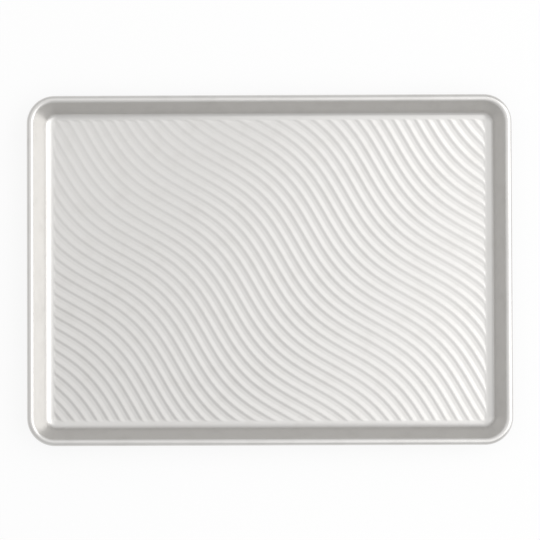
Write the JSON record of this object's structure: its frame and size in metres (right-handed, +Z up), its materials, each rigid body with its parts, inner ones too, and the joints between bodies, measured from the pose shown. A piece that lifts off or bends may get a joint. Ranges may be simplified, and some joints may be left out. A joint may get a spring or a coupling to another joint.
{
  "type": "half sheet pan",
  "caption": "Shallow rectangular baking tray of satin aluminium, with leaning walls, a rim rolled round a wire and diagonal waves embossed across its floor.",
  "frame": {"origin": "under the middle of the pan, on the surface it rests on", "axes": "+X along the long side, +Y along the short side, +Z up out of the tray"},
  "size_m": [0.4572, 0.3302, 0.0254],
  "materials": {
    "satin_aluminium": "satin, as rolled",
    "wire_steel": "drawn wire"
  },
  "bodies": {
    "root": {"pan_body": "satin_aluminium", "rim_wire": "wire_steel"}
  },
  "joints": []
}
